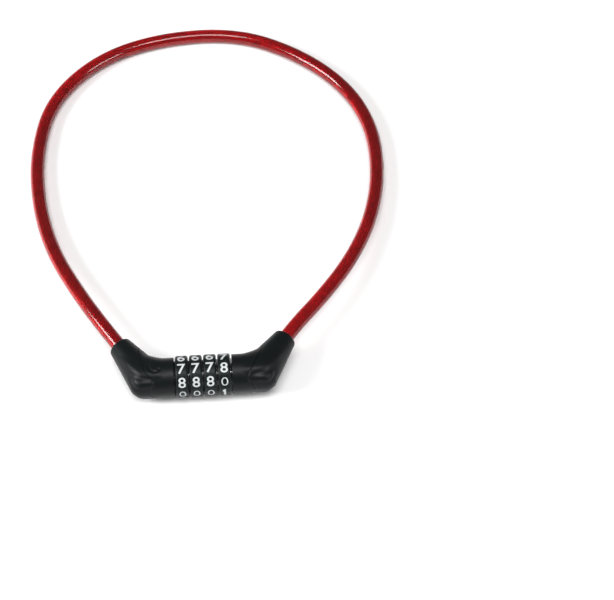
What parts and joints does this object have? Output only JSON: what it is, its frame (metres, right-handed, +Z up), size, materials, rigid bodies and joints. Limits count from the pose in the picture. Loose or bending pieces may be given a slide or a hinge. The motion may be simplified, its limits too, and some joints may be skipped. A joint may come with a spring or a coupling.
{
  "type": "combination cable lock",
  "caption": "Looped jacketed steel cable closed by a cylindrical combination head: numbered dials on a slotted barrel between two angled elbows, one of which pulls out with the bolt.",
  "frame": {"origin": "centre of the head's footprint on the surface that the lock lies on, the cable loop left out", "axes": "+X along the barrel from the fixed elbow to the free elbow, +Y towards the far end of the cable loop, +Z up"},
  "size_m": [0.2195, 0.2873, 0.0244],
  "materials": {
    "black_plastic": "satin moulded nylon",
    "dial_black": "satin",
    "dial_white": "printed numerals",
    "washer_black": "moulded acetal",
    "red_jacket": "clear glossy PVC",
    "steel_rope": "stranded wire",
    "zinc_casting": "as cast",
    "ferrule_metal": "crimped",
    "brass": "turned",
    "bright_steel": "plated",
    "hardened_steel": "ground"
  },
  "bodies": {
    "fixed_end": {"lock_barrel": "bright_steel", "barrel_pin": "hardened_steel", "end_collar": "brass", "spacer_washers": "washer_black", "detent_balls": "hardened_steel", "detent_springs": "hardened_steel", "fixed_elbow_core": "zinc_casting", "fixed_elbow_cover": "black_plastic", "fixed_sleeve": "black_plastic", "fixed_cable_ferrule": "ferrule_metal", "fixed_ferrule_pin": "hardened_steel", "cable_jacket_fixed_half": "red_jacket", "wire_rope_fixed_half": "steel_rope"},
    "dial_body_1": {"dial_1": "dial_black", "gate_ring_1": "brass"},
    "dial_body_2": {"dial_2": "dial_black", "gate_ring_2": "brass"},
    "dial_body_3": {"dial_3": "dial_black", "gate_ring_3": "brass"},
    "dial_body_4": {"dial_4": "dial_black", "gate_ring_4": "brass"},
    "free_end": {"locking_bolt": "bright_steel", "bolt_pin": "hardened_steel", "free_elbow_core": "zinc_casting", "free_elbow_cover": "black_plastic", "free_sleeve": "black_plastic", "free_cable_ferrule": "ferrule_metal", "free_ferrule_pin": "hardened_steel", "cable_jacket_free_half": "red_jacket", "wire_rope_free_half": "steel_rope"}
  },
  "joints": [
    {"name": "dial_1_turn", "type": "hinge", "parent": "fixed_end", "child": "dial_body_1", "pos_m": [-0.01208, -0.0076, 0.0124], "axis": [1, 0, 0], "continuous": true},
    {"name": "dial_2_turn", "type": "hinge", "parent": "fixed_end", "child": "dial_body_2", "pos_m": [-0.00402, -0.0076, 0.0124], "axis": [1, 0, 0], "continuous": true},
    {"name": "dial_3_turn", "type": "hinge", "parent": "fixed_end", "child": "dial_body_3", "pos_m": [0.00402, -0.0076, 0.0124], "axis": [1, 0, 0], "continuous": true},
    {"name": "dial_4_turn", "type": "hinge", "parent": "fixed_end", "child": "dial_body_4", "pos_m": [0.01208, -0.0076, 0.0124], "axis": [1, 0, 0], "continuous": true},
    {"name": "free_end_slide", "type": "slide", "parent": "fixed_end", "child": "free_end", "axis": [1, 0, 0], "range_m": [0, 0.045]}
  ]
}
